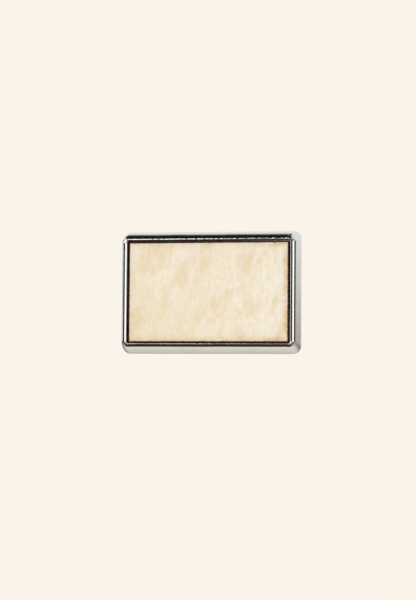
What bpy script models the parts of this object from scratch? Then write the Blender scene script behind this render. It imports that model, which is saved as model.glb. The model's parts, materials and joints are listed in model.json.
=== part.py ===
"""Rectangular lapel badge with a birch inlay, for Blender 4.5.

A die-cast, plated tray holds a three-ply birch panel on an adhesive film. Two steel posts are
soldered to the back of the tray. A butterfly clutch grips each post: a turned cup, with a bent
spring strip in it that carries two finger wings, whose leaves cross around the post.

Frame: metres, +Z up. The origin is the centre of the tray's flat back face. The display side
faces -Y, and the posts point along +Y. Left and right are as seen from the display side.
"""

import math

import bmesh
import bpy
from mathutils import Vector

MM = 0.001

# Tray: overall size and the sections of its wall.
TRAY_WIDTH = 30.0 * MM
TRAY_HEIGHT = 20.25 * MM
SIDE_DRAFT_X = 0.55 * MM  # how far the two short walls lean in, from the base to the bead
SIDE_DRAFT_Z = 0.80 * MM  # the same for the two long walls
BEAD_WIDTH = 0.80 * MM
BEAD_HEIGHT = 0.70 * MM  # of the bead's round top, over the outer wall
BEAD_CREST = 0.36  # where the crest stands, as a share of the width from the pocket's wall
BEAD_START = math.radians(18)  # the outer wall runs into the bead at this lean, with no crease
BEAD_INNER_ROUND = 0.16 * MM  # from the crest down to the top of the pocket's wall
FOOT_ROUND = 0.35 * MM
FLOOR_THICKNESS = 1.0 * MM
BASE_CORNER = 1.25 * MM
SHOULDER_CORNER = 0.95 * MM
POCKET_CORNER = 0.35 * MM
EJECTOR_RADIUS = 1.1 * MM
EJECTOR_DEPTH = 0.12 * MM
EJECTOR_INSET = 2.9 * MM

# Inlay: a laser-cut panel of three veneers, which lies a little off centre in its pocket.
PANEL_CORNER = 0.18 * MM
PANEL_SHIFT_X = -0.06 * MM
PANEL_SHIFT_Z = -0.05 * MM
PANEL_CLEARANCE = 0.20 * MM  # between the panel and the pocket's walls
PANEL_SINK = 0.48 * MM  # from the bead's crest down to the panel's face
FILM_INSET = 0.4 * MM
FILM_THICKNESS = 0.12 * MM
BACK_VENEER = 0.6 * MM
CORE_VENEER = 0.8 * MM
FACE_VENEER = 0.6 * MM
SEAT_GAP = 0.03 * MM  # between two pieces that rest on each other

# Posts, with the pad that is soldered to the tray.
POST_SPACING = 16.0 * MM
POST_LENGTH = 8.0 * MM
POST_RADIUS = 0.575 * MM
POST_TIP_RADIUS = 0.07 * MM
POST_TIP_LENGTH = 1.0 * MM
POST_NECK_DEPTH = 0.155 * MM
POST_NECK_LENGTH = 0.7 * MM
POST_NECK_FROM_TIP = 2.2 * MM  # to the middle of the neck
POST_FILLET = 0.25 * MM
PAD_RADIUS = 2.4 * MM
PAD_THICKNESS = 0.35 * MM
SOLDER_THICKNESS = 0.06 * MM
SOLDER_FILLET = 0.45 * MM

# Clutch cup: a sheet cup with a guide funnel in its floor and a lip rolled over its edge.
CUP_RADIUS = 5.7 * MM
CUP_SHEET = 0.33 * MM
CUP_WALL = 1.25 * MM  # height where the wall turns over into the lip, above the garment face
CUP_BASE_BEND = 0.55 * MM
CUP_LIP_BEND = 0.38 * MM
CUP_LIP_REACH = 0.1 * MM
FUNNEL_HEIGHT = 0.62 * MM
FUNNEL_WIDTH = 0.55 * MM
FUNNEL_CLEARANCE = 0.10 * MM  # between the funnel's throat and the post

# Clutch spring: a strip folded back on itself at both ends, and the two leaves that cross.
SPRING_SHEET = 0.25 * MM
SPRING_FOLD = 0.4 * MM  # radius of the fold's middle line
SPRING_WIDTH = 4.6 * MM
SPRING_FOOT_WIDTH = 3.6 * MM  # at the folds
SPRING_SHOULDER = 2.0 * MM  # length over which the strip widens from a fold
SPRING_WALL_GAP = 0.16 * MM  # between the strip's corners and the cup's wall
SPRING_HOLE_CLEARANCE = 0.12 * MM
LEAF_SLOPE = math.radians(17)
LEAF_SQUEEZE = math.radians(12)
FOLD_SLIT = math.radians(14)  # left between the strip's end and a fully pinched leaf
WING_SLOPE = math.radians(52)
WING_LENGTH = 3.0 * MM
WING_WIDTH = 6.8 * MM
WING_BEND = 0.8 * MM
WING_CURL = 0.9 * MM
WING_TIP = 0.5 * MM
WING_CORNER = 1.1 * MM
JAW_CLEARANCE = 0.045 * MM  # between a jaw's edge and the post
TONGUE_RAIL = 0.32 * MM  # metal beside the tongue's eye
TONGUE_CLEARANCE = 0.3 * MM  # between the tongue and the window that it passes through
TONGUE_EYE_SIDE = 0.16 * MM  # between the tongue's eye and the post, at the sides
EYE_BACK_CLEARANCE = 0.12 * MM  # between a pinched leaf's eye and the post, on the wing's side
EYE_FRAME = 0.35 * MM  # metal between the eye and the end of the tongue
TONGUE_FLARE = 0.5 * MM  # length over which the tongue widens at both ends

ROUND_STEPS = 36
CORNER_STEPS = 6
BEAD_STEPS = 12
BEND_STEPS = 6
PATH_STEP = 0.35 * MM
CUTTER_OVERSHOOT = 1.0 * MM

# Places that follow from the sizes above.
PANEL_WIDTH = TRAY_WIDTH - 2 * (SIDE_DRAFT_X + BEAD_WIDTH + PANEL_CLEARANCE)
PANEL_HEIGHT = TRAY_HEIGHT - 2 * (SIDE_DRAFT_Z + BEAD_WIDTH + PANEL_CLEARANCE)
PANEL_THICKNESS = BACK_VENEER + CORE_VENEER + FACE_VENEER + 2 * SEAT_GAP
PANEL_SEAT = -FLOOR_THICKNESS - 2 * SEAT_GAP - FILM_THICKNESS
TRAY_DEPTH = PANEL_SINK + PANEL_THICKNESS - PANEL_SEAT
TONGUE_WIDTH = 2 * (POST_RADIUS + TONGUE_EYE_SIDE + TONGUE_RAIL)
POST_SEAT = 2 * SEAT_GAP + SOLDER_THICKNESS
PAD_TOP = POST_SEAT + PAD_THICKNESS
CUP_FLOOR = CUP_SHEET  # inner face of the cup's floor, from the garment face
STRIP_MIDDLE = CUP_FLOOR + SEAT_GAP + SPRING_SHEET / 2
FOLD_HEIGHT = STRIP_MIDDLE + SPRING_FOLD
CUP_INNER_RADIUS = CUP_RADIUS - CUP_SHEET
FOLD_REACH = (
    math.sqrt((CUP_INNER_RADIUS - SPRING_WALL_GAP) ** 2 - (SPRING_FOOT_WIDTH / 2) ** 2)
    - SPRING_FOLD
    - SPRING_SHEET / 2
)
THROAT_RADIUS = POST_RADIUS + FUNNEL_CLEARANCE
FUNNEL_FOOT = THROAT_RADIUS + CUP_SHEET / 2 + FUNNEL_WIDTH
CROSSING_HEIGHT = (
    FOLD_HEIGHT + SPRING_FOLD / math.cos(LEAF_SLOPE) + FOLD_REACH * math.tan(LEAF_SLOPE)
)
CLOTH_GAP = POST_LENGTH - POST_NECK_FROM_TIP - CROSSING_HEIGHT  # from the tray's back to the cup


def clear_scene():
    for obj in list(bpy.data.objects):
        bpy.data.objects.remove(obj, do_unlink=True)


def new_collection(name):
    collection = bpy.data.collections.new(name)
    bpy.context.scene.collection.children.link(collection)
    return collection


def new_material(name, colour, roughness, metallic):
    material = bpy.data.materials.new(name)
    material.use_nodes = True
    shader = material.node_tree.nodes["Principled BSDF"]
    shader.inputs["Base Color"].default_value = (*colour, 1.0)
    shader.inputs["Roughness"].default_value = roughness
    shader.inputs["Metallic"].default_value = metallic
    return material


def place(name, data, collection, location=(0, 0, 0), material=None, parent=None):
    obj = bpy.data.objects.new(name, data)
    obj.location = location
    if material:
        data.materials.append(material)
    if parent:
        obj.parent = parent
    collection.objects.link(obj)
    return obj


def finish_mesh(name, bm):
    """The bmesh as a mesh whose faces point outwards, smooth across its gentle edges."""
    bmesh.ops.recalc_face_normals(bm, faces=bm.faces)
    mesh = bpy.data.meshes.new(name)
    bm.to_mesh(mesh)
    bm.free()
    mesh.shade_smooth()
    mesh.set_sharp_from_angle(angle=math.radians(35))
    return mesh


def rounded_rectangle(half_width, half_height, corner):
    """Points (x, z) around a rectangle with round corners, starting on the right side."""
    points = []
    for quarter in range(4):
        sign_x = (1, -1, -1, 1)[quarter]
        sign_z = (1, 1, -1, -1)[quarter]
        for step in range(CORNER_STEPS + 1):
            angle = math.radians(90) * (quarter + step / CORNER_STEPS)
            x = sign_x * (half_width - corner) + corner * math.cos(angle)
            z = sign_z * (half_height - corner) + corner * math.sin(angle)
            points.append((x, z))
    return points


def loft(name, sections):
    """A closed solid through rounded rectangles (half width, half height, corner, y), capped."""
    bm = bmesh.new()
    rings = []
    for half_width, half_height, corner, y in sections:
        outline = rounded_rectangle(half_width, half_height, corner)
        rings.append([bm.verts.new((x, y, z)) for x, z in outline])
    for near, far in zip(rings, rings[1:]):
        for i in range(len(near)):
            j = (i + 1) % len(near)
            bm.faces.new((near[i], near[j], far[j], far[i]))
    bm.faces.new(rings[0])
    bm.faces.new(rings[-1])
    return finish_mesh(name, bm)


def plate(name, half_width, half_height, corner, y_back, thickness, collection, material):
    """A flat rounded rectangle: a filled curve that is extruded by half its thickness."""
    curve = bpy.data.curves.new(name, "CURVE")
    curve.dimensions = "2D"
    curve.fill_mode = "BOTH"
    curve.extrude = thickness / 2
    outline = rounded_rectangle(half_width, half_height, corner)
    spline = curve.splines.new("POLY")
    spline.points.add(len(outline) - 1)
    for point, (x, z) in zip(spline.points, outline):
        point.co = (x, z, 0, 1)
    spline.use_cyclic_u = True
    location = (PANEL_SHIFT_X, y_back - thickness / 2, PANEL_SHIFT_Z)
    obj = place(name, curve, collection, location, material)
    obj.rotation_euler = (math.radians(90), 0, 0)
    return obj


def turned(name, profile, collection, location, material, parent=None, closed=False):
    """A profile (radius, height along +Y) turned about the post's axis with a Screw modifier.

    The profile runs down its outer side, from the far end to the near one.
    """
    mesh = bpy.data.meshes.new(name)
    count = len(profile)
    edges = [(i, (i + 1) % count) for i in range(count if closed else count - 1)]
    mesh.from_pydata([(radius, 0, height) for radius, height in profile], edges, [])
    obj = place(name, mesh, collection, location, material, parent)
    obj.rotation_euler = (math.radians(-90), 0, 0)
    screw = obj.modifiers.new("Turn", "SCREW")
    screw.axis = "Z"
    screw.steps = ROUND_STEPS
    screw.render_steps = ROUND_STEPS
    screw.use_merge_vertices = True
    screw.merge_threshold = 0.00001
    screw.use_smooth_shade = True
    return obj


def cylinder_cutter(name, radius, depth, location, cutters, parent=None):
    """A cylinder along Y that is used only to cut."""
    bm = bmesh.new()
    bmesh.ops.create_cone(
        bm, cap_ends=True, segments=ROUND_STEPS // 2, radius1=radius, radius2=radius, depth=depth
    )
    obj = place(name, finish_mesh(name, bm), cutters, location, parent=parent)
    obj.rotation_euler = (math.radians(90), 0, 0)
    return as_cutter(obj)


def box_cutter(name, size, location, cutters, parent):
    """A box with the given full sizes that is used only to cut."""
    bm = bmesh.new()
    bmesh.ops.create_cube(bm, size=1)
    bmesh.ops.scale(bm, vec=size, verts=bm.verts)
    return as_cutter(place(name, finish_mesh(name, bm), cutters, location, parent=parent))


def as_cutter(obj):
    obj.hide_render = True
    obj.display_type = "WIRE"
    return obj


def cut(obj, cutter):
    boolean = obj.modifiers.new("Cut " + cutter.name, "BOOLEAN")
    boolean.operation = "DIFFERENCE"
    boolean.solver = "EXACT"
    boolean.object = cutter


def arc(centre, radius, start, end, steps):
    """Points from angle start to angle end, both included, in the plane of the profile."""
    return [
        (
            centre[0] + radius * math.cos(start + (end - start) * i / steps),
            centre[1] + radius * math.sin(start + (end - start) * i / steps),
        )
        for i in range(steps + 1)
    ]


def sheet_outline(middle, thickness):
    """The closed outline of a sheet of this thickness along a middle line of (a, b) points."""
    points = [Vector(point) for point in middle]
    headings = [(far - near).normalized() for near, far in zip(points, points[1:])]
    left = []
    right = []
    for point, before, after in zip(points, headings[:1] + headings, headings + headings[-1:]):
        heading = (before + after).normalized()
        normal = Vector((-heading.y, heading.x))
        # At a bend the outline moves out further, so that the sheet keeps its thickness.
        reach = thickness / 2 / heading.dot(before)
        left.append(point + normal * reach)
        right.append(point - normal * reach)
    return left + right[::-1]


def smooth_step(value, low, high):
    t = min(max((value - low) / (high - low), 0.0), 1.0)
    return t * t * (3 - 2 * t)


def tray_sections():
    """The tray's sections from its back face, up the outer wall, over the bead, to the floor."""
    half_width = TRAY_WIDTH / 2
    half_height = TRAY_HEIGHT / 2
    sections = []
    for step in range(5):
        angle = math.radians(90) * step / 4
        inset = FOOT_ROUND * (1 - math.sin(angle))
        y = -FOOT_ROUND * (1 - math.cos(angle))
        sections.append((half_width - inset, half_height - inset, BASE_CORNER - inset, y))
    shoulder = (half_width - SIDE_DRAFT_X, half_height - SIDE_DRAFT_Z)
    pocket = (PANEL_WIDTH / 2 + PANEL_CLEARANCE, PANEL_HEIGHT / 2 + PANEL_CLEARANCE)
    for step in range(BEAD_STEPS + 1):
        angle = BEAD_START + (math.radians(180) - BEAD_START) * step / BEAD_STEPS
        if angle < math.radians(90):
            across = BEAD_CREST + (1 - BEAD_CREST) * math.cos(angle) / math.cos(BEAD_START)
            drop = BEAD_HEIGHT * (1 - math.sin(angle)) / (1 - math.sin(BEAD_START))
        else:
            across = BEAD_CREST * (1 + math.cos(angle))
            drop = BEAD_INNER_ROUND * (1 - math.sin(angle))
        sections.append(
            (
                pocket[0] + (shoulder[0] - pocket[0]) * across,
                pocket[1] + (shoulder[1] - pocket[1]) * across,
                POCKET_CORNER + (SHOULDER_CORNER - POCKET_CORNER) * across,
                drop - TRAY_DEPTH,
            )
        )
    sections.append((*pocket, POCKET_CORNER, -FLOOR_THICKNESS))
    return sections


def make_tray(collection, cutters, plating):
    tray = place("tray", loft("tray", tray_sections()), collection, material=plating)
    for sign_x in (-1, 1):
        for sign_z in (-1, 1):
            name = f"ejector_mark_{sign_x}_{sign_z}"
            location = (
                sign_x * (TRAY_WIDTH / 2 - EJECTOR_INSET),
                CUTTER_OVERSHOOT / 2 - EJECTOR_DEPTH,
                sign_z * (TRAY_HEIGHT / 2 - EJECTOR_INSET),
            )
            cutter = cylinder_cutter(name, EJECTOR_RADIUS, CUTTER_OVERSHOOT, location, cutters)
            cut(tray, cutter)


def make_inlay(collection, film, birch):
    half_width = PANEL_WIDTH / 2
    half_height = PANEL_HEIGHT / 2
    plate(
        "adhesive_film",
        half_width - FILM_INSET,
        half_height - FILM_INSET,
        PANEL_CORNER,
        -FLOOR_THICKNESS - SEAT_GAP,
        FILM_THICKNESS,
        collection,
        film,
    )
    y = PANEL_SEAT
    veneers = {"back_veneer": BACK_VENEER, "core_veneer": CORE_VENEER, "face_veneer": FACE_VENEER}
    for name, thickness in veneers.items():
        plate(name, half_width, half_height, PANEL_CORNER, y, thickness, collection, birch)
        y -= thickness + SEAT_GAP


def post_profile():
    """The post from its tip down to the underside of its pad, with heights from the tray's back."""
    neck_top = POST_LENGTH - POST_NECK_FROM_TIP + POST_NECK_LENGTH / 2
    neck_bottom = neck_top - POST_NECK_LENGTH
    neck_radius = POST_RADIUS - POST_NECK_DEPTH
    fillet = arc(
        (POST_RADIUS + POST_FILLET, PAD_TOP + POST_FILLET),
        POST_FILLET,
        math.radians(180),
        math.radians(270),
        4,
    )
    return [
        (0, POST_LENGTH),
        (POST_TIP_RADIUS, POST_LENGTH),
        (POST_RADIUS * 0.72, POST_LENGTH - POST_TIP_LENGTH * 0.55),
        (POST_RADIUS, POST_LENGTH - POST_TIP_LENGTH),
        (POST_RADIUS, neck_top),
        (neck_radius, neck_top - POST_NECK_DEPTH),
        (neck_radius, neck_bottom + POST_NECK_DEPTH),
        (POST_RADIUS, neck_bottom),
        *fillet,
        (PAD_RADIUS - SEAT_GAP, PAD_TOP),
        (PAD_RADIUS, PAD_TOP - SEAT_GAP),
        (PAD_RADIUS, POST_SEAT),
        (0, POST_SEAT),
    ]


def solder_profile():
    """The solder under the pad, with the fillet that rises around the pad's edge."""
    inner = PAD_RADIUS + SEAT_GAP
    top = SEAT_GAP + SOLDER_THICKNESS
    rise = POST_SEAT + PAD_THICKNESS * 0.7
    return [
        (0, top),
        (inner, top),
        (inner, rise),
        (inner + SOLDER_FILLET * 0.3, rise * 0.55),
        (inner + SOLDER_FILLET, SEAT_GAP),
        (0, SEAT_GAP),
    ]


def cup_profile():
    """The cup's section as a closed outline, with heights from its garment face."""
    floor = CUP_SHEET / 2
    wall = CUP_RADIUS - CUP_SHEET / 2
    base_bend = (wall - CUP_BASE_BEND, floor + CUP_BASE_BEND)
    lip_bend = (wall - CUP_LIP_BEND, CUP_WALL)
    middle = [
        (FUNNEL_FOOT - FUNNEL_WIDTH, floor + FUNNEL_HEIGHT),
        (FUNNEL_FOOT, floor),
        *arc(base_bend, CUP_BASE_BEND, math.radians(-90), 0, BEND_STEPS),
        *arc(lip_bend, CUP_LIP_BEND, 0, math.radians(90), BEND_STEPS),
        (lip_bend[0] - CUP_LIP_REACH, CUP_WALL + CUP_LIP_BEND),
    ]
    return sheet_outline(middle, CUP_SHEET)


def run_path(start, heading, pieces):
    """A line of (z, y) points made of straight pieces and bends.

    A straight piece is ("line", length). A bend is ("bend", radius, heading at its end).
    """
    points = [start]
    for piece in pieces:
        z, y = points[-1]
        if piece[0] == "line":
            steps = max(2, round(piece[1] / PATH_STEP))
            for i in range(1, steps + 1):
                reach = piece[1] * i / steps
                points.append((z + reach * math.cos(heading), y + reach * math.sin(heading)))
        else:
            radius, target = piece[1:]
            side = 1 if target > heading else -1
            centre = (z - side * radius * math.sin(heading), y + side * radius * math.cos(heading))
            start_angle = heading - side * math.radians(90)
            end_angle = target - side * math.radians(90)
            points += arc(centre, radius, start_angle, end_angle, BEND_STEPS)[1:]
            heading = target
    return points


def ribbon(name, path, half_width, collection, location, material, parent):
    """A bent strip of spring sheet: a grid laid along the path, as wide as half_width says."""
    rows = len(path) - 1
    along = [0.0]
    for (z0, y0), (z1, y1) in zip(path, path[1:]):
        along.append(along[-1] + math.hypot(z1 - z0, y1 - y0))
    bm = bmesh.new()
    bmesh.ops.create_grid(bm, x_segments=1, y_segments=rows, size=1)
    for vertex in bm.verts:
        row = round((vertex.co.y + 1) / 2 * rows)
        side = 1 if vertex.co.x > 0 else -1
        z, y = path[row]
        vertex.co = (side * half_width(along[row], along[-1]), y, z)
    obj = place(name, finish_mesh(name, bm), collection, location, material, parent)
    solidify = obj.modifiers.new("Sheet", "SOLIDIFY")
    solidify.thickness = SPRING_SHEET
    solidify.offset = 0
    solidify.use_even_offset = True
    return obj


def make_strip(name, collection, cutters, material, clutch):
    """The strip on the cup's floor, with both of its folds up to where the leaves begin."""
    end_angle = math.radians(90) + LEAF_SLOPE + LEAF_SQUEEZE + FOLD_SLIT
    fold = arc((-FOLD_REACH, FOLD_HEIGHT), SPRING_FOLD, end_angle, math.radians(270), BEND_STEPS)
    straight_rows = round(2 * FOLD_REACH / PATH_STEP)
    flat = [
        (-FOLD_REACH + 2 * FOLD_REACH * i / straight_rows, STRIP_MIDDLE)
        for i in range(1, straight_rows)
    ]
    path = fold + flat + [(-z, y) for z, y in reversed(fold)]

    def half_width(at, total):
        from_end = min(at, total - at)
        share = smooth_step(from_end, SPRING_FOLD, SPRING_FOLD + SPRING_SHOULDER)
        return (SPRING_FOOT_WIDTH + (SPRING_WIDTH - SPRING_FOOT_WIDTH) * share) / 2

    strip = ribbon(name, path, half_width, collection, (0, 0, 0), material, clutch)
    hole = cylinder_cutter(
        name + "_hole",
        FUNNEL_FOOT + CUP_SHEET / 2 + SPRING_HOLE_CLEARANCE,
        CUTTER_OVERSHOOT,
        (0, STRIP_MIDDLE, 0),
        cutters,
        clutch,
    )
    cut(strip, hole)


def eye_back():
    """How far a leaf's eye runs past the post's axis, so that a pinched leaf clears the post."""
    pinched = LEAF_SLOPE + LEAF_SQUEEZE
    reach = FOLD_REACH + POST_RADIUS + EYE_BACK_CLEARANCE
    along = (reach + SPRING_FOLD * math.sin(pinched)) / math.cos(pinched)
    return along * math.cos(LEAF_SLOPE) - SPRING_FOLD * math.sin(LEAF_SLOPE) - FOLD_REACH


def leaf_path():
    """The middle line of a leaf and its wing, from the hinge axis, as (z, y) points.

    It is drawn for the wing that stands above the post: it starts at the fold below the post.
    Also gives the lengths along the line to the post's axis and to the end of the flat leaf.
    """
    start_z = -SPRING_FOLD * math.sin(LEAF_SLOPE)
    start_y = SPRING_FOLD * math.cos(LEAF_SLOPE)
    post_at = (FOLD_REACH - start_z) / math.cos(LEAF_SLOPE)
    leaf_end = post_at + (eye_back() + EYE_FRAME + TONGUE_FLARE) / math.cos(LEAF_SLOPE)
    pieces = [
        ("line", leaf_end),
        ("bend", WING_BEND, WING_SLOPE),
        ("line", WING_LENGTH),
        ("bend", WING_CURL, 0.0),
        ("line", WING_TIP),
    ]
    return run_path((start_z, start_y), LEAF_SLOPE, pieces), post_at, leaf_end


def make_wing(name, up, has_window, collection, cutters, material, clutch):
    """One leaf with its finger wing. up is 1 for the wing above the post and -1 for the other."""
    middle, post_at, leaf_end = leaf_path()
    path = [(up * z, y) for z, y in middle]
    waist = SPRING_WIDTH if has_window else TONGUE_WIDTH
    tongue_reach = (eye_back() + EYE_FRAME) / math.cos(LEAF_SLOPE)

    def half_width(at, total):
        root = smooth_step(at, 0, SPRING_SHOULDER)
        spread = smooth_step(at, leaf_end, leaf_end + WING_LENGTH)
        width = SPRING_FOOT_WIDTH + (SPRING_WIDTH - SPRING_FOOT_WIDTH) * root
        width += (WING_WIDTH - SPRING_WIDTH) * spread
        beyond = smooth_step(abs(at - post_at), tongue_reach, tongue_reach + TONGUE_FLARE)
        half = (waist + (width - waist) * beyond) / 2
        into_corner = max(at - (total - WING_CORNER), 0)
        return half - WING_CORNER + math.sqrt(max(WING_CORNER**2 - into_corner**2, 0))

    hinge = (0, FOLD_HEIGHT, -up * FOLD_REACH)
    wing = ribbon(name, path, half_width, collection, hinge, material, clutch)
    jaw = POST_RADIUS + JAW_CLEARANCE
    back = eye_back()
    if has_window:
        width = TONGUE_WIDTH + 2 * TONGUE_CLEARANCE
    else:
        width = 2 * (POST_RADIUS + TONGUE_EYE_SIDE)
    size = (width, 2 * CUTTER_OVERSHOOT, jaw + back)
    middle_at = (0, CROSSING_HEIGHT, up * (back - jaw) / 2)
    cut(wing, box_cutter(name + "_eye", size, middle_at, cutters, clutch))


def make_fastening(side_name, side, collection, cutters, materials):
    x = side * POST_SPACING / 2
    turned(f"{side_name}_solder", solder_profile(), collection, (x, 0, 0), materials["solder"])
    turned(f"{side_name}_post", post_profile(), collection, (x, 0, 0), materials["steel"])
    clutch = place(f"{side_name}_clutch", None, collection, (x, CLOTH_GAP, 0))
    plated = materials["clutch"]
    turned(f"{side_name}_cup", cup_profile(), collection, (0, 0, 0), plated, clutch, closed=True)
    spring = materials["spring"]
    make_strip(f"{side_name}_spring", collection, cutters, spring, clutch)
    make_wing(f"{side_name}_upper_wing", 1, True, collection, cutters, spring, clutch)
    make_wing(f"{side_name}_lower_wing", -1, False, collection, cutters, spring, clutch)


def main():
    clear_scene()
    badge = new_collection("lapel_badge")
    cutters = new_collection("cutters")
    plating = new_material("plating", (0.78, 0.78, 0.79), 0.12, 1.0)
    birch = new_material("birch", (0.85, 0.72, 0.50), 0.62, 0.0)
    film = new_material("film", (0.80, 0.76, 0.62), 0.45, 0.0)
    materials = {
        "solder": new_material("solder", (0.55, 0.55, 0.56), 0.42, 1.0),
        "steel": new_material("steel", (0.62, 0.62, 0.64), 0.22, 1.0),
        "clutch": new_material("clutch", (0.74, 0.73, 0.72), 0.18, 1.0),
        "spring": new_material("spring", (0.70, 0.70, 0.70), 0.20, 1.0),
    }
    make_tray(badge, cutters, plating)
    make_inlay(badge, film, birch)
    for side_name, side in (("left", -1), ("right", 1)):
        make_fastening(side_name, side, badge, cutters, materials)


main()
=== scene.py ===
"""Looks of a rectangular lapel badge: a plated cast tray, a laser-cut birch panel, posts and clutches.

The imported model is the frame. Each visible piece is a surface worked out on a grid, and it rides on the
body of the piece that it stands for. Lengths in the settings are metres; MM turns millimetres into them.
"""

import json
import math

import bmesh
import bpy
import numpy as np
from bpy.props import FloatProperty, FloatVectorProperty, PointerProperty
from mathutils import Matrix, Vector


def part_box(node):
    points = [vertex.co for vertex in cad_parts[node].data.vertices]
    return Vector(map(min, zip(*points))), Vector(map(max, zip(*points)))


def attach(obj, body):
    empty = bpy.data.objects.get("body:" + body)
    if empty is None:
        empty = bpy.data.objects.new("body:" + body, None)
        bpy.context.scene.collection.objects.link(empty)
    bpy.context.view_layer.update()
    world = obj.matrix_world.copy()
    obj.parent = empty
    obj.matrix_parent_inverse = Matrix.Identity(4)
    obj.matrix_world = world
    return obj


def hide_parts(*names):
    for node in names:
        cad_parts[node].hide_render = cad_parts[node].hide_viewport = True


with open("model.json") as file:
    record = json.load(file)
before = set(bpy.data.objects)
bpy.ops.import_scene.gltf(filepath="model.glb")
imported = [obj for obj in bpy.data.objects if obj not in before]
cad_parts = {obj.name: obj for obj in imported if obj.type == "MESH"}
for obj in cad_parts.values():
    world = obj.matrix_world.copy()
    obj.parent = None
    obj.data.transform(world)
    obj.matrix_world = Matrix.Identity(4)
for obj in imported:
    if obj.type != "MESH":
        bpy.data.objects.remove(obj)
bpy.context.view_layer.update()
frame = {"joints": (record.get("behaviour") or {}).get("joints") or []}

bl_info = {
    "name": "Lapel Badge",
    "version": (1, 0, 0),
    "blender": (4, 5, 0),
    "location": "3D View > Sidebar > Badge",
    "description": "Makes a lapel badge with a birch inlay and butterfly clutches",
    "category": "Add Mesh",
}

MM = 0.001
SIDES = ("left", "right")

# Headings of a rail's rim line: at the top of the side, over the shoulder and at the inner edge.
SHORT_RAIL = np.radians([76, 38, -38])
LONG_RAIL = np.radians([66, 50, -6])
SHORT_BLEND = 1.3  # the short rails' bend into the bead, as a multiple of the long rails'
DROP = math.radians(-86)  # heading of the small edge inside the bead

# Half widths of the spring strip in millimetres: at a fold, and what it gains beyond it.
STRIP_ROOT = 1.8
STRIP_FLARE = 0.5
PINCH = math.radians(12)
JAW_GAP = 0.045 * MM

# What the metal reflects. Angles are in degrees, and colours are linear red, green and blue.
# A window has its left, right, lower and upper edge, each from where it is dark to where it is bright,
# and its strength. They are a wide one in front, a slim one to the left and a lamp at the far left.
WINDOWS = (
    ((-10.5, -3), (52, 42), (-7, -4), (13, 10), 0.45),
    ((-62, -56), (-8.7, -12.9), (6, 9), (26, 22), 0.70),
    ((-91, -87), (-76, -81), (-7, -4), (18, 13), 0.8),
)
WINDOW_LIGHT = (3.0, 3.0, 2.95)
# The pale ground behind the badge: its colour at the foot, and each band above it with where it begins.
PAPER_FOOT = (0.90, 0.84, 0.68)
PAPER_BANDS = (
    ((-51, -33), (0.68, 0.68, 0.66)),
    ((-34, -16), (0.34, 0.31, 0.26)),
    ((0, 6), (0.88, 0.88, 0.87)),
)
DUSK = (0.010, 0.009, 0.010)
DUSK_BELOW = (0.050, 0.028, 0.018)
DUSK_RIGHT = (0.055, 0.032, 0.022)
DUSK_LEFT = (0.075, 0.065, 0.100)
WALL_FOOT = (0.30, 0.28, 0.25)
WALL_TOP = (0.80, 0.81, 0.82)
SOFT_LIGHT = (1.10, 1.05, 0.99)
EYE_HEIGHT = 3.0
KEY_WIDTH = math.radians(40)
KEY_TURN = (math.radians(55), 0, math.radians(-30))
FLOOR_TONES = ((0.845, 0.830, 0.802), (0.815, 0.797, 0.770))


def length(name, description, millimetres):
    return FloatProperty(name=name, description=description, default=millimetres * MM, unit="LENGTH")


def angle(name, description, degrees):
    return FloatProperty(name=name, description=description, default=math.radians(degrees), subtype="ANGLE")


def colour(name, description, red, green, blue):
    """A colour setting. The three numbers are as a display shows them, from 0 to 1."""
    linear = [((c + 0.055) / 1.055) ** 2.4 for c in (red, green, blue)]
    return FloatVectorProperty(
        name=name, description=description, default=linear, subtype="COLOR", min=0, max=1
    )


class TraySettings(bpy.types.PropertyGroup):
    """Sizes and colours of the cast tray."""

    crown: length("Bead radius", "Radius of the bead's round top", 0.56)
    blend: length("Bead blend", "Length of the bend from a long side into the bead", 0.20)
    foot: length("Foot round", "Radius of the round edge at the back", 0.35)
    base_corner: length("Base corner", "Corner radius at the back", 1.25)
    bead_corner: length("Bead corner", "Corner radius at the bead's crest", 0.75)
    pocket_corner: length("Pocket corner", "Corner radius of the pocket", 0.35)
    clearance: length("Panel clearance", "Gap between the panel and the pocket's walls", 0.20)
    floor: length("Floor", "Thickness of the tray's floor", 1.0)
    ripple: length("Casting ripple", "Height of the waves that polishing leaves on the bead", 0.006)
    mark_radius: length("Ejector mark", "Radius of the marks on the back", 1.1)
    mark_depth: length("Ejector mark depth", "Depth of the marks on the back", 0.12)
    mark_inset: length("Ejector mark inset", "From the tray's edge to a mark's centre", 2.9)
    plating: colour("Plating", "Colour of the polished nickel", 0.90, 0.895, 0.885)
    haze: colour("Plating haze", "Colour of the plating where it is handled", 0.80, 0.785, 0.76)


class PanelSettings(bpy.types.PropertyGroup):
    """Sizes and colours of the birch panel."""

    corner: length("Corner", "Corner radius of the panel", 0.18)
    edge: length("Edge round", "Radius of the singed edge", 0.05)
    kerf: length("Kerf marks", "Height of the laser's marks on the cut edge", 0.012)
    char: length("Char", "Width of the charred rim on the face", 0.25)
    toast: length("Toast", "Width of the browned band inside the char", 1.5)
    lean: angle("Figure lean", "Lean of the curl", 24)
    pale: colour("Pale birch", "The lightest figure", 0.930, 0.917, 0.892)
    middle: colour("Birch", "The ground colour", 0.908, 0.888, 0.828)
    deep: colour("Deep birch", "The darkest figure", 0.878, 0.824, 0.698)
    browned: colour("Browned birch", "Near the cut", 0.80, 0.62, 0.38)
    charred: colour("Charred birch", "The cut itself", 0.25, 0.165, 0.125)


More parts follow.
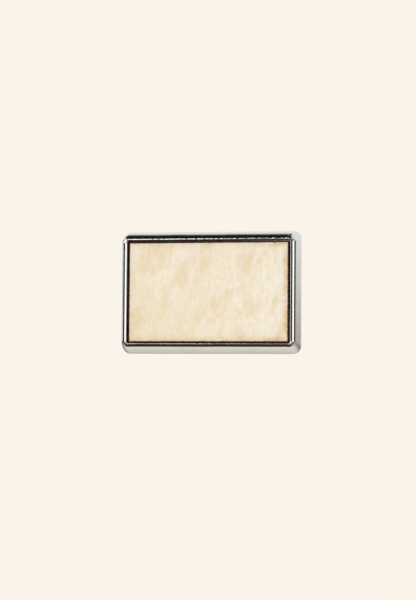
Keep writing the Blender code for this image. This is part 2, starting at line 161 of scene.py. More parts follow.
class FasteningSettings(bpy.types.PropertyGroup):
    """Sizes and colours of the posts and clutches."""

    post_radius: length("Post radius", "Radius of the post's shaft", 0.575)
    neck_depth: length("Neck depth", "Depth of the groove that the jaws hold", 0.155)
    neck_length: length("Neck length", "Length of that groove", 0.7)
    neck_from_tip: length("Neck from tip", "From the tip to the groove's middle", 2.2)
    cup_sheet: length("Cup sheet", "Thickness of the cup", 0.33)
    spring_sheet: length("Spring sheet", "Thickness of the spring strip", 0.25)
    fold: length("Fold radius", "Radius of the spring's fold, at its middle line", 0.4)
    slope: angle("Leaf slope", "Slope of a leaf at rest", 17)
    wing_slope: angle("Wing slope", "Slope of a finger wing at rest", 52)
    nickel: colour("Clutch plating", "Colour of the barrel-plated cup", 0.86, 0.85, 0.83)
    spring: colour("Spring steel", "Colour of the rolled strip", 0.80, 0.80, 0.80)
    steel: colour("Post steel", "Colour of the drawn post", 0.78, 0.78, 0.79)
    tin: colour("Solder", "Colour of the solder", 0.66, 0.66, 0.67)


class StageSettings(bpy.types.PropertyGroup):
    """The camera, the backdrop and the studio that the metal reflects."""

    azimuth: angle("Azimuth", "How far the camera stands to the right", 11.0)
    elevation: angle("Elevation", "How far the camera stands above the badge", -3.2)
    roll: angle("Roll", "How far the camera leans to the left", 0.42)
    distance: length("Distance", "From the camera to the badge", 330)
    aim_x: length("Aim, sideways", "How far right the camera aims", -0.68)
    aim_z: length("Aim, height", "How high the camera aims", -1.19)
    lens: FloatProperty(name="Lens", description="Focal length in millimetres", default=119.3)
    backdrop: colour("Backdrop", "The plain pale ground", 0.980, 0.953, 0.914)
    floor_drop: length("Floor drop", "From the badge down to the floor", 350)
    floor_reach: length("Floor reach", "From the middle of the floor to its edges", 2400)
    key_energy: FloatProperty(name="Key light", description="Strength of the soft key light", default=0.35)


# Shapes


def smooth_step(value, low, high):
    """0 below low and 1 above high, and between them 3 t squared less 2 t cubed."""
    t = np.clip((value - low) / (high - low), 0, 1)
    return t * t * (3 - 2 * t)


def outline(steps_x, steps_z, corner_steps):
    """Once round a rectangle with round corners, as four arrays.

    The first two give each point's share of the straight core's half sizes, and the last two its
    outward direction, so that a point is share * core + direction * corner radius.
    """
    quarter = np.linspace(0, np.pi / 2, corner_steps, endpoint=False)
    along_x = np.linspace(1, -1, steps_x, endpoint=False)
    along_z = np.linspace(1, -1, steps_z, endpoint=False)
    share_x, share_z, turn = [], [], []
    for side, (sign_x, sign_z) in enumerate(((1, 1), (-1, 1), (-1, -1), (1, -1))):
        flat = (along_x, along_z)[side % 2] * (1, 1, -1, -1)[side]
        share_x += [np.full(corner_steps, sign_x), flat if side % 2 == 0 else np.full(steps_z, sign_x)]
        share_z += [np.full(corner_steps, sign_z), flat if side % 2 else np.full(steps_x, sign_z)]
        turn += [quarter + side * np.pi / 2, np.full(len(flat), (side + 1) * np.pi / 2)]
    turn = np.concatenate(turn)
    return np.concatenate(share_x), np.concatenate(share_z), np.cos(turn), np.sin(turn)


def rings(path, centre, half_x, half_z, corner, y):
    """The outline at each row's half sizes, corner radius and depth: rows of rings of points."""
    share_x, share_z, out_x, out_z = path
    half_x, half_z, corner, y = (np.asarray(v, float)[:, None] for v in (half_x, half_z, corner, y))
    x = centre[0] + (half_x - corner) * share_x + corner * out_x
    z = centre[1] + (half_z - corner) * share_z + corner * out_z
    return np.stack([x, np.broadcast_to(y, x.shape), z], axis=-1)


def run_length(path, half_x, half_z, corner):
    """The distance along the outline to each of its points, and the whole way round."""
    ring = rings(path, (0, 0), [half_x], [half_z], [corner], [0])[0]
    steps = np.linalg.norm(np.roll(ring, -1, axis=0) - ring, axis=1)
    return np.concatenate([[0], np.cumsum(steps)[:-1]]), steps.sum()


def closed_waves(seed, along, whole, across, longest, shortest, count, drift):
    """A sum of sine waves round a closed path, each with a whole number of cycles, scaled to about 1.

    The phase of each wave also runs with the distance across the path, at a random rate.
    """
    rng = np.random.default_rng(seed)
    cycles = rng.integers(max(round(whole / longest), 1), round(whole / shortest) + 1, count)
    phase = rng.uniform(0, 2 * np.pi, count)
    rate = rng.normal(0, drift, count)
    total = np.zeros(np.broadcast(along, across).shape)
    for n, p, r in zip(cycles, phase, rate):
        total = total + np.sin(2 * np.pi * (n * along / whole + r * across) + p)
    return total / math.sqrt(count)


def grid_normals(points):
    """Unit normals of a grid of closed rings: the cross product of its two central differences."""
    down = np.gradient(points, axis=0)
    round_ = np.roll(points, -1, axis=1) - np.roll(points, 1, axis=1)
    normal = np.cross(down, round_)
    return normal / np.maximum(np.linalg.norm(normal, axis=-1, keepdims=True), 1e-12)


def turned(profile, centre_x, steps):
    """Carries a profile of (radius, height) round a post's axis: x and z are radius times cos and sin."""
    turn = np.linspace(0, 2 * np.pi, steps, endpoint=False)
    radius = profile[:, :1]
    x = centre_x + radius * np.cos(turn)
    z = radius * np.sin(turn)
    return np.stack([x, np.broadcast_to(profile[:, 1:], x.shape), z], axis=-1)


def straight(start, end, steps):
    """Evenly spaced points from start to end, without the last."""
    t = np.linspace(0, 1, steps, endpoint=False)[:, None]
    return np.array(start) * (1 - t) + np.array(end) * t


def bend(centre, radius, start, end, steps):
    """Points on an arc from one angle to another, in degrees."""
    turn = np.radians(np.linspace(start, end, steps))
    return np.stack([centre[0] + radius * np.cos(turn), centre[1] + radius * np.sin(turn)], axis=-1)


def bent_line(start, knots, headings, at):
    """A line from start whose heading changes evenly between knots: the running sum of its heading."""
    fine = np.linspace(0, knots[-1], 4000)
    heading = np.interp(fine, knots, headings)
    step = fine[1] - fine[0]
    run = np.stack([np.cos(heading), np.sin(heading)], axis=-1) * step
    line = np.array(start) + np.concatenate([[(0, 0)], np.cumsum((run[1:] + run[:-1]) / 2, axis=0)])
    here = np.stack([np.interp(at, fine, line[:, i]) for i in (0, 1)], axis=-1)
    return here, np.interp(at, knots, headings)


def sheet_section(middle, thickness, end_steps=5):
    """The closed outline of a sheet with round ends: its middle line moved out by half its thickness."""
    ahead = np.gradient(middle, axis=0)
    ahead /= np.linalg.norm(ahead, axis=1, keepdims=True)
    side = np.stack([-ahead[:, 1], ahead[:, 0]], axis=-1) * thickness / 2
    turn = np.linspace(0, np.pi, end_steps + 2)[1:-1, None]
    last = middle[-1] + side[-1] * np.cos(turn) + ahead[-1] * np.sin(turn) * thickness / 2
    first = middle[0] - side[0] * np.cos(turn) - ahead[0] * np.sin(turn) * thickness / 2
    return np.concatenate([middle + side, last, (middle - side)[::-1], first])


def grid_faces(rows, columns, wrap_columns=True, wrap_rows=False):
    """The quads of a grid of points, as an array of four indices each."""
    r = np.arange(rows if wrap_rows else rows - 1)[:, None]
    c = np.arange(columns if wrap_columns else columns - 1)[None, :]
    near, far = r * columns, (r + 1) % rows * columns
    left, right = c, (c + 1) % columns
    return np.stack([near + left, near + right, far + right, far + left], axis=-1).reshape(-1, 4)


def ring_faces(points, wrap_rows=False):
    """The quads of a grid of closed rings, which may also close from the last ring to the first."""
    return grid_faces(*points.shape[:2], wrap_rows=wrap_rows)


def new_piece(name, points, faces, body, nodes, finish, sharp=40, masks=None):
    """A finished piece from points and faces, with its normals outward, on the body that carries it."""
    mesh = bpy.data.meshes.new(name)
    mesh.from_pydata(points.reshape(-1, 3).tolist(), [], faces.tolist())
    for mask, values in (masks or {}).items():
        layer = mesh.attributes.new(mask, "FLOAT", "POINT")
        layer.data.foreach_set("value", values.reshape(-1).astype(np.float32))
    bm = bmesh.new()
    bm.from_mesh(mesh)
    bmesh.ops.remove_doubles(bm, verts=bm.verts, dist=0.0002 * MM)
    bmesh.ops.recalc_face_normals(bm, faces=bm.faces)
    bm.to_mesh(mesh)
    bm.free()
    mesh.materials.append(finish)
    mesh.shade_smooth()
    mesh.set_sharp_from_angle(angle=math.radians(sharp))
    piece = bpy.data.objects.new(name, mesh)
    bpy.context.scene.collection.objects.link(piece)
    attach(piece, body)
    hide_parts(*nodes)
    return piece


# Finishes


class Term:
    """A socket that is used in sums and products as if it were a number."""

    def __init__(self, recipe, socket):
        self.recipe = recipe
        self.socket = socket

    def maths(self, operation, *others):
        return self.recipe.node("ShaderNodeMath", {"operation": operation}, self, *others)

    def __add__(self, other):
        return self.maths("ADD", other)

    def __sub__(self, other):
        return self.maths("SUBTRACT", other)

    def __rsub__(self, other):
        return self.recipe.node("ShaderNodeMath", {"operation": "SUBTRACT"}, other, self)

    def __mul__(self, other):
        return self.maths("MULTIPLY", other)

    def __truediv__(self, other):
        return self.maths("DIVIDE", other)

    def ramp(self, low, high):
        """0 at low and 1 at high, with smooth ends. Low may be above high."""
        settings = {"interpolation_type": "SMOOTHSTEP"}
        return self.recipe.node("ShaderNodeMapRange", settings, self, low, high, 0.0, 1.0)

    __radd__ = __add__
    __rmul__ = __mul__


class Recipe:
    """A node tree that is written as expressions."""

    def __init__(self, tree):
        self.tree = tree
        tree.nodes.clear()

    def node(self, kind, settings=None, *values, output=0, **named):
        """Adds a node, then sets its settings, its first sockets in order and its named sockets."""
        node = self.tree.nodes.new(kind)
        for key, value in (settings or {}).items():
            setattr(node, key, value)
        for key, value in [*enumerate(values), *named.items()]:
            self.feed(node.inputs[key], value)
        return Term(self, node.outputs[output]) if node.outputs else None

    def feed(self, socket, value):
        if isinstance(value, Term):
            self.tree.links.new(value.socket, socket)
        elif value is not None:
            socket.default_value = (*value, 1.0) if socket.type == "RGBA" else value

    def mix(self, factor, first, second):
        """A colour between first, at 0, and second, at 1."""
        node = self.node("ShaderNodeMix", {"data_type": "RGBA"}, factor).socket.node
        self.feed(node.inputs[6], first)
        self.feed(node.inputs[7], second)
        return Term(self, node.outputs[2])

    def millimetres(self, scale=(1, 1, 1), turn=(0, 0, 0), shift=(0, 0, 0)):
        """The place on the object in millimetres, first turned, then multiplied by the scale."""
        place = self.node("ShaderNodeTexCoord", output=3)
        sizes = [MM / s for s in scale]
        return self.node("ShaderNodeMapping", {"vector_type": "TEXTURE"}, place, shift, turn, sizes)

    def axes(self, vector):
        node = self.node("ShaderNodeSeparateXYZ", None, vector).socket.node
        return [Term(self, output) for output in node.outputs]

    def noise(self, place, scale, detail=2.0, rough=0.5, twist=0.0):
        return self.node(
            "ShaderNodeTexNoise", None, place, Scale=scale, Detail=detail, Roughness=rough, Distortion=twist
        )

    def stretched(self, across, up, detail, rough, lean=0.0, twist=0.0):
        """Noise with its own scale across and up the object, turned by the lean about Y."""
        place = self.millimetres((across, 1, up), (0, lean, 0))
        return self.noise(place, 1.0, detail, rough, twist)

    def cells(self, place, scale):
        return self.node("ShaderNodeTexVoronoi", None, place, Scale=scale)

    def bump(self, height, depth, under=None):
        """A normal that follows height, whose 0 to 1 stands for depth."""
        return self.node("ShaderNodeBump", None, 1.0, depth, Height=height, Normal=under)


class Finish(Recipe):
    """A material whose one shader is a Principled BSDF."""

    def __init__(self, name, **sockets):
        self.material = bpy.data.materials.new(name)
        self.material.use_nodes = True
        super().__init__(self.material.node_tree)
        self.shader = self.node("ShaderNodeBsdfPrincipled")
        self.node("ShaderNodeOutputMaterial", None, self.shader)
        self.set(**sockets)

    def set(self, **sockets):
        for key, value in sockets.items():
            self.feed(self.shader.socket.node.inputs[key.replace("_", " ")], value)

    def attribute(self, name):
        return self.node("ShaderNodeAttribute", {"attribute_name": name}, output=2)


def polished_plating(look):
    """Polished nickel over a zinc casting: bright, with ripples, fine wipe marks and dull specks."""
    finish = Finish("polished_plating", Metallic=1.0)
    place = finish.millimetres()
    bead = finish.attribute("bead")
    back = finish.attribute("back")
    cloud = finish.noise(place, 0.35, detail=3.0, rough=0.6)
    pits = finish.noise(place, 9.0, detail=3.0, rough=0.7).ramp(0.66, 0.74)
    strokes = finish.millimetres((0.5, 6.0, 9.0), (0, math.radians(12), 0))
    wipes = finish.noise(strokes, 1.6, detail=4.0, rough=0.65)
    dull = cloud.ramp(0.5, 0.75) * 0.25 + pits * 0.35 + back * 0.35
    finish.set(Base_Color=finish.mix(dull, look.plating, look.haze))
    finish.set(Roughness=0.07 + wipes.ramp(0.45, 0.8) * 0.05 + pits * 0.12 + back * 0.20)
    swell = finish.noise(place, 1.1, detail=2.0, rough=0.5)
    peel = finish.noise(place, 4.5, detail=2.0, rough=0.5)
    grain = finish.noise(place, 14.0, detail=2.0, rough=0.5)
    relief = finish.bump(swell, 0.006 * MM)
    relief = finish.bump(peel * (0.4 + bead * 0.6), 0.0022 * MM, relief)
    relief = finish.bump(grain * back + wipes * 0.12, 0.004 * MM, relief)
    finish.set(Normal=relief)
    return finish.material


def birch(name, look, half_x, half_z, centre):
    """Sanded birch with upright grain, a curled figure and an edge that the laser has charred."""
    finish = Finish(name, Specular_IOR_Level=0.3)
    x, _, z = finish.axes(finish.millimetres())
    in_x = half_x / MM - (x - centre[0] / MM).maths("ABSOLUTE")
    in_z = half_z / MM - (z - centre[1] / MM).maths("ABSOLUTE")
    inward = in_x.maths("MINIMUM", in_z)

    curl = finish.stretched(0.36, 0.14, detail=2.0, rough=0.5, lean=look.lean, twist=0.5)
    flake = finish.stretched(0.75, 0.30, detail=3.0, rough=0.6, lean=look.lean * 0.6, twist=0.3)
    fibre = finish.stretched(3.0, 0.45, detail=2.0, rough=0.6)
    ray = finish.stretched(4.6, 2.2, detail=2.0, rough=0.55)
    slow = finish.stretched(0.09, 0.09, detail=1.0, rough=0.5)
    mottle = finish.stretched(1.9, 1.1, detail=2.0, rough=0.6)
    figure = curl * 0.62 + flake * 0.38
    ground = finish.mix(figure.ramp(0.38, 0.54), look.deep, look.pale)
    ground = finish.mix(0.20, ground, look.middle)
    drift = x.ramp(half_x / MM, -half_x / MM) * 0.24 + z.ramp(half_z / MM, -half_z / MM) * 0.12
    speck = finish.cells(finish.millimetres((1, 1, 0.8)), 0.55).ramp(0.075, 0.03)
    rare = finish.noise(finish.millimetres(), 0.5, detail=0.0).ramp(0.52, 0.60)
    tints = (
        (drift + slow.ramp(0.45, 0.62) * 0.18, look.deep),
        (mottle.ramp(0.42, 0.66) * 0.32, look.deep),
        (mottle.ramp(0.50, 0.34) * 0.28, look.pale),
        (fibre.ramp(0.48, 0.72) * 0.38, look.deep),
        (ray.ramp(0.48, 0.70) * 0.34, look.deep),
        (speck * rare * 0.55, look.browned),
    )
    for share, tone in tints:
        ground = finish.mix(share, ground, tone)

    smoke = finish.stretched(0.6, 0.6, detail=3.0, rough=0.6)
    uneven = finish.stretched(2.5, 2.5, detail=2.0, rough=0.6)
    reach = look.toast / MM
    to_right = x.ramp(0.55 * half_x / MM, half_x / MM)
    to_foot = z.ramp(-0.3 * half_z / MM, -half_z / MM)
    heat = (0.25 + 0.75 * to_right + 0.35 * to_foot) * smoke.ramp(0.25, 0.75)
    browned = inward.ramp(reach, 0.1) * heat * 0.75
    ground = finish.mix(browned, ground, look.browned)
    rim = (inward + uneven * 0.16 - 0.08).ramp(look.char / MM + 0.05, look.char / MM - 0.05)
    finish.set(Base_Color=finish.mix(rim, ground, look.charred))
    finish.set(Roughness=0.55 + fibre * 0.12 + rim * 0.2)
    relief = finish.bump(fibre * 0.7 + ray * 0.5, 0.010 * MM)
    relief = finish.bump(uneven * rim, 0.02 * MM, relief)
    finish.set(Normal=relief)
    return finish.material


def adhesive():
    """A waxy transfer film with a fine orange peel."""
    finish = Finish("adhesive_film", IOR=1.48)
    place = finish.millimetres()
    cloud = finish.noise(place, 0.8, detail=3.0)
    finish.set(Base_Color=finish.mix(cloud, (0.60, 0.55, 0.40), (0.74, 0.70, 0.56)))
    finish.set(Roughness=0.3 + cloud * 0.2)
    finish.set(Normal=finish.bump(finish.noise(place, 6.0, detail=2.0), 0.01 * MM))
    return finish.material


def solder_tin(look):
    """Dull solder with frozen swirls and a few bright facets."""
    finish = Finish("solder_tin", Metallic=1.0)
    place = finish.millimetres()
    cloud = finish.noise(place, 1.4, detail=4.0, rough=0.6, twist=1.0)
    facets = finish.cells(place, 3.0)
    finish.set(Base_Color=finish.mix(cloud.ramp(0.35, 0.7), look.tin, (0.22, 0.21, 0.20)))
    finish.set(Roughness=0.30 + cloud * 0.22 + facets * 0.1)
    finish.set(Normal=finish.bump(cloud * 0.8 + facets * 0.4, 0.05 * MM))
    return finish.material


def drawn_steel(look):
    """A drawn wire: bright, with fine lines along it and a ground point."""
    finish = Finish("drawn_steel", Metallic=1.0)
    lines = finish.noise(finish.millimetres((9, 0.35, 9)), 1.2, detail=3.0, rough=0.6)
    cloud = finish.noise(finish.millimetres(), 0.9, detail=3.0)
    finish.set(Base_Color=finish.mix(cloud.ramp(0.45, 0.8) * 0.4, look.steel, (0.30, 0.29, 0.28)))
    finish.set(Roughness=0.16 + lines * 0.14)
    finish.set(Normal=finish.bump(lines, 0.006 * MM))
    return finish.material


def barrel_nickel(look):
    """Barrel-plated sheet: bright, with small dents and a dusty bloom in places."""
    finish = Finish("barrel_nickel", Metallic=1.0)
    place = finish.millimetres()
    cloud = finish.noise(place, 0.5, detail=3.0, rough=0.6)
    dents = finish.cells(place, 1.1).ramp(0.34, 0.0)
    strokes = finish.millimetres((1, 6, 6), (0.5, 0, 0.4))
    scuffs = finish.noise(strokes, 1.5, detail=4.0, rough=0.7).ramp(0.58, 0.75)
    finish.set(Base_Color=finish.mix(cloud.ramp(0.4, 0.75) * 0.5, look.nickel, (0.42, 0.40, 0.36)))
    finish.set(Roughness=0.12 + scuffs * 0.14 + cloud * 0.06)
    finish.set(Normal=finish.bump(dents * 0.5 + finish.noise(place, 3.0, detail=2.0) * 0.5, 0.012 * MM))
    return finish.material


def spring_strip(look):
    """Rolled spring strip: fine rolling lines along it and a faint straw tint in places."""
    finish = Finish("spring_strip", Metallic=1.0)
    lines = finish.noise(finish.millimetres((11, 0.6, 0.6)), 1.3, detail=4.0, rough=0.65)
    cloud = finish.noise(finish.millimetres(), 0.7, detail=3.0, rough=0.6)
    finish.set(Base_Color=finish.mix(cloud.ramp(0.35, 0.75) * 0.5, look.spring, (0.46, 0.42, 0.35)))
    finish.set(Roughness=0.15 + lines * 0.16)
    finish.set(Normal=finish.bump(lines, 0.005 * MM))
    return finish.material


# Pieces


def half_sizes(node):
    """Half sizes and centre of a CAD node in X and Z, and its lowest and highest Y."""
    low, high = (np.array(v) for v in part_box(node))
    half, centre = (high - low) / 2, (high + low) / 2
    return half[0], half[2], (centre[0], centre[2]), low[1], high[1]


def rim_line(inward, forward, look, headings, blend, rows):
    """The tray's rim in section, from the top of the foot, up the side and over the bead, to the wall.

    The bead is a line whose heading changes evenly: it bends in from the side over a short length,
    goes over the crown at the crown's radius, and drops over a small edge. The side is the arc that
    joins its start to the foot and leaves no corner between them.
    """
    side, shoulder, inner = headings
    over = look.crown * (shoulder - inner)
    knots = np.cumsum([0, blend, over, 0.07 * MM])
    lengths = np.interp(np.arange(rows[1]) / (rows[1] - 1), [0, 0.25, 0.9, 1], knots)
    rim, _ = bent_line((0, 0), knots, [side, shoulder, inner, DROP], lengths)
    crest = rim[:, 1].max()
    start = np.array([inward, forward]) - (rim[-1, 0], crest)
    mean = math.atan2(start[1], start[0])
    bow = mean - side
    run = np.linalg.norm(start) * bow / math.sin(bow)
    wall, _ = bent_line((0, 0), [0, run], [mean + bow, side], np.linspace(0, run, rows[0] + 1)[:-1])
    return np.concatenate([wall, rim + start])


def tray_surface(look):
    """The tray as rings, from the centre of its back, over the foot, side and bead, to its floor.

    The back is the outline shrunk towards its centre, with round marks sunk in it, and the foot is a
    quarter circle. The long and the short rails have their own rim lines, and a corner takes shares
    of both by the squares of its direction. Sine waves then move the rim along its normals.
    """
    side_rows, bead_rows, back_rows, wall_rows = 16, 52, 33, 5
    half_x, half_z, _, front, back = half_sizes("tray")
    panel_x, panel_z, _, _, _ = half_sizes("face_veneer")
    pocket = np.array([panel_x, panel_z]) + look.clearance
    path = outline(steps_x=230, steps_z=150, corner_steps=22)
    along, whole = run_length(path, half_x, half_z, look.base_corner)
    base = back - look.foot
    rows = (side_rows, bead_rows)
    forward = base - front
    short = rim_line(half_x - pocket[0], forward, look, SHORT_RAIL, SHORT_BLEND * look.blend, rows)
    long = rim_line(half_z - pocket[1], forward, look, LONG_RAIL, look.blend, rows)

    share = np.linspace(0, 1, back_rows, endpoint=False)[:, None]
    flat_core = np.array([half_x, half_z, look.base_corner]) - look.foot
    flat = np.column_stack([share * flat_core, np.full(back_rows, back)])
    turn = np.linspace(0, np.pi / 2, 9)[:-1]
    inset = look.foot * (1 - np.sin(turn))
    foot_y = back - look.foot * (1 - np.cos(turn))
    foot = np.column_stack([half_x - inset, half_z - inset, look.base_corner - inset, foot_y])
    progress = short[:, 0] / short[-1, 0]
    corners = np.interp(
        progress, [0, 0.75, 1], [look.base_corner, look.bead_corner, look.pocket_corner]
    )
    rim = np.column_stack([half_x - short[:, 0], half_z - long[:, 0], corners, base - short[:, 1]])
    wall_y = np.linspace(rim[-1, 3], back - look.floor, wall_rows + 1)[1:]
    wall = np.column_stack([np.broadcast_to([*pocket, look.pocket_corner], (wall_rows, 3)), wall_y])
    share = np.array([0.9, 0.6, 0.3, 0.0])[:, None]
    floor = np.column_stack([share * wall[:1, :3], np.full(len(share), back - look.floor)])
    parts = (flat, foot, rim, wall, floor)
    part = np.repeat(np.arange(len(parts)), list(map(len, parts)))
    on_back, on_rim = part == 0, part == 2
    sizes = np.concatenate(parts)
    points = rings(path, (0, 0), *sizes.T)
    points[on_rim, :, 1] -= (long[:, 1] - short[:, 1])[:, None] * path[3][None, :] ** 2

    mark_edge, mark_floor = look.mark_radius + 0.3 * MM, look.mark_radius - 0.4 * MM
    for sign_x in (-1, 1):
        for sign_z in (-1, 1):
            x = points[..., 0] - sign_x * (half_x - look.mark_inset)
            z = points[..., 2] - sign_z * (half_z - look.mark_inset)
            sunk = smooth_step(np.hypot(x, z), mark_edge, mark_floor)
            points[..., 1] -= look.mark_depth * sunk * on_back[:, None]

    reach = np.concatenate([[0], np.cumsum(np.linalg.norm(np.diff(sizes[:, [0, 3]], axis=0), axis=1))])
    place = (along / MM, whole / MM)
    reach = reach[:, None] / MM
    fine = closed_waves(3, *place, reach, longest=2.2, shortest=0.7, count=16, drift=0.45)
    broad = closed_waves(8, *place, reach, longest=24, shortest=5, count=8, drift=0.10)
    patchy = closed_waves(5, *place, 0 * reach, longest=60, shortest=12, count=6, drift=0)
    over = np.linspace(0, 1, bead_rows)
    on_bead, on_side = np.zeros(len(sizes)), np.zeros(len(sizes))
    on_bead[np.flatnonzero(on_rim)[side_rows:]] = np.sin(np.pi * over) ** 0.5
    on_side[on_rim] = 1 - np.concatenate([np.zeros(side_rows), over]) ** 4
    long_rails = 0.15 + 0.85 * path[3] ** 2
    fine = fine * (0.7 + 0.3 * np.clip(patchy, -1.5, 1.5)) * long_rails
    height = look.ripple * (fine * on_bead[:, None] + 0.8 * broad * on_side[:, None])
    points += grid_normals(points) * height[..., None]
    shape = points.shape[:2]
    masks = {"bead": on_bead, "back": on_back}
    return points, {name: np.broadcast_to(mask[:, None], shape) for name, mask in masks.items()}


def plate_surface(node, corner, edge, kerf, seed, steps):
    """A thin plate as rings, from the centre of its back, round its edge, to the centre of its front.

    The edge is rounded by a quarter circle at each face. The laser's marks push the edge out and in
    by a sum of sine waves that runs round the plate.
    """
    face_rows, round_rows = 9, 5
    half_x, half_z, centre, front, back = half_sizes(node)
    path = outline(*steps)
    along, whole = run_length(path, half_x, half_z, corner)
    inside = np.linspace(0, 1, face_rows, endpoint=False) ** 0.7
    turn = np.linspace(0, np.pi / 2, round_rows)
    inset = np.concatenate([edge * (1 - np.sin(turn)), edge * (1 - np.cos(turn))])
    rim_y = np.concatenate([back - edge * (1 - np.cos(turn)), front + edge * (1 - np.sin(turn))])
    core = np.array([half_x, half_z, corner])
    small = core - edge
    rim = core - inset[:, None]
    face = inside[:, None] * small
    sizes = np.concatenate([face, rim, face[::-1]])
    y = np.concatenate([np.full(face_rows, back), rim_y, np.full(face_rows, front)])
    points = rings(path, centre, sizes[:, 0], sizes[:, 1], np.maximum(sizes[:, 2], 0), y)
    place = (along / MM, whole / MM)
    marks = closed_waves(seed, *place, 0, longest=1.2, shortest=0.22, count=16, drift=0)
    on_rim = np.repeat([0.0, 1.0, 0.0], [face_rows, 2 * round_rows, face_rows])[:, None]
    push = -kerf * (0.5 + 0.5 * np.tanh(marks)) * on_rim
    points[..., 0] += push * path[2]
    points[..., 2] += push * path[3]
    return points


def post_surface(node, look, centre_x):
    """The post from its tip to its pad: cone, shaft, neck, fillet and a pad with round edges."""
    low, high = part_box(node)
    tip, seat = high[1], low[1]
    radius, pad = look.post_radius, (high[0] - low[0]) / 2
    middle = tip - look.neck_from_tip
    neck = radius - look.neck_depth
    half, slope = look.neck_length / 2, look.neck_depth
    top, fillet, rim, blunt = seat + 0.35 * MM, 0.25 * MM, 0.08 * MM, 0.09 * MM
    # The cone's shares of the radius, with their distances from the tip in millimetres.
    cone = ((0.22, 0.12), (0.72, 0.55), (0.97, 0.95), (1.0, 1.08))
    sharp, swell, full, shaft = ((radius * share, tip - down * MM) for share, down in cone)
    profile = [
        bend((0, tip - blunt), blunt, 90, 25, 6),
        straight(sharp, swell, 6),
        straight(swell, full, 5),
        straight(shaft, (radius, middle + half), 10),
        straight((radius, middle + half), (neck, middle + half - slope), 5),
        straight((neck, middle + half - slope), (neck, middle - half + slope), 5),
        straight((neck, middle - half + slope), (radius, middle - half), 5),
        straight((radius, middle - half), (radius, top + fillet), 24),
        bend((radius + fillet, top + fillet), fillet, 180, 270, 8),
        bend((pad - rim, top - rim), rim, 90, 0, 6),
        bend((pad - rim, seat + rim), rim, 0, -90, 6),
        np.array([(0, seat)]),
    ]
    profile = np.concatenate(profile)
    profile[0, 0] = 0
    return turned(profile, centre_x, 72)


def solder_surface(node, centre_x, seed):
    """Solder under a pad: a low ring that climbs the pad's edge, with an uneven outer line.

    The outer radius grows and shrinks with a sum of sine waves round the post.
    """
    low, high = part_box(node)
    steps = 96
    outer, base, rise = (high[0] - low[0]) / 2, low[1], high[1]
    inner = outer - 0.45 * MM
    step = base + 0.06 * MM
    climb = bend((outer + 0.02 * MM, rise + 0.08 * MM), rise - base + 0.08 * MM, 200, 262, 9)
    share = (climb[:, 0] - climb[0, 0]) / np.ptp(climb[:, 0])
    climb[:, 0] = inner + 0.05 * MM + share * (outer - inner - 0.06 * MM)
    profile = np.concatenate([
        [(0, step), (inner, step), (inner, rise)],
        climb,
        [(outer, base), (0, base)],
    ])
    points = turned(profile, centre_x, steps)
    turn = np.linspace(0, 2 * np.pi, steps, endpoint=False)
    wave = closed_waves(seed, turn, 2 * np.pi, 0, longest=6.3, shortest=0.9, count=5, drift=0)
    swell = 1 + 0.03 * (np.tanh(wave) - 1)
    reach = smooth_step(profile[:, 0], inner, inner + 0.1 * MM)[:, None]
    scale = 1 + (swell - 1) * reach
    points[..., 0] = centre_x + (points[..., 0] - centre_x) * scale
    points[..., 2] *= scale
    return points


def cup_surface(node, look, centre_x):
    """The clutch's cup: a sheet section with a guide funnel, a ringed floor, a wall and a rolled lip."""
    low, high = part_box(node)
    outer, base, top = (high[0] - low[0]) / 2, low[1], high[1]
    sheet = look.cup_sheet
    wall, floor = outer - sheet / 2, base + sheet / 2
    throat = look.post_radius + 0.10 * MM + sheet / 2
    foot = throat + 0.55 * MM
    roll, corner = 0.38 * MM, 0.55 * MM
    funnel = straight((throat, floor + 0.62 * MM), (foot, floor), 7)
    flat = straight((foot + 0.04 * MM, floor), (wall - corner, floor), 34)
    ring_at, ring_width, ring_height = outer * 0.62, 0.16 * MM, 0.05 * MM
    flat[:, 1] += ring_height * np.exp(-(((flat[:, 0] - ring_at) / ring_width) ** 2))
    lip_y = top - sheet / 2 - roll
    middle = np.concatenate([
        funnel,
        flat,
        bend((wall - corner, floor + corner), corner, -90, 0, 9)[:-1],
        straight((wall, floor + corner), (wall, lip_y), 4),
        bend((wall - roll, lip_y), roll, 0, 90, 9),
        [(wall - roll - 0.1 * MM, top - sheet / 2)],
    ])
    return turned(sheet_section(middle, sheet), centre_x, 112)


def rows_along(total, spacing, marks, reach):
    """Distances from 0 to total, evenly spaced, with extra ones that crowd towards each mark."""
    least = 0.004 * MM
    crowd = reach * np.linspace(0, 1, 9) ** 2
    near = [np.concatenate([mark - crowd, mark + crowd]) for mark in marks]
    every = np.concatenate([np.linspace(0, total, round(total / spacing)), *near])
    return np.unique(np.round(np.clip(every, 0, total) / least)) * least


def strip_surface(line, heading, half_width, half_hole, crown, centre_x):
    """Two grids side by side, from the strip's edges in to its hole, or to its middle where it has none.

    A point lies at its share of the way from the hole's half width to the strip's half width. The
    crown moves it along the strip's normal by the square of its distance from the middle.
    """
    across = 9
    share = np.linspace(0, 1, across)
    out = half_hole[:, None] + (half_width - half_hole)[:, None] * share
    lift = crown[:, None] * (1 - (out / half_width[:, None]) ** 2)
    z = line[:, :1] - np.sin(heading)[:, None] * lift
    y = line[:, 1:] + np.cos(heading)[:, None] * lift
    right = np.stack([centre_x + out, y, z], axis=-1)
    left = np.stack([centre_x - out, y, z], axis=-1)
    faces = grid_faces(len(line), across, wrap_columns=False)
    return np.stack([right, left]), np.concatenate([faces, faces[:, ::-1] + right[..., 0].size])


def hinge_of(side, which):
    """The fold's centre: its height along the post and its place across it, from the joint."""
    joint = next(j for j in frame["joints"] if j["name"] == f"{side}_{which}_wing_pinch")
    return joint["pos_m"]


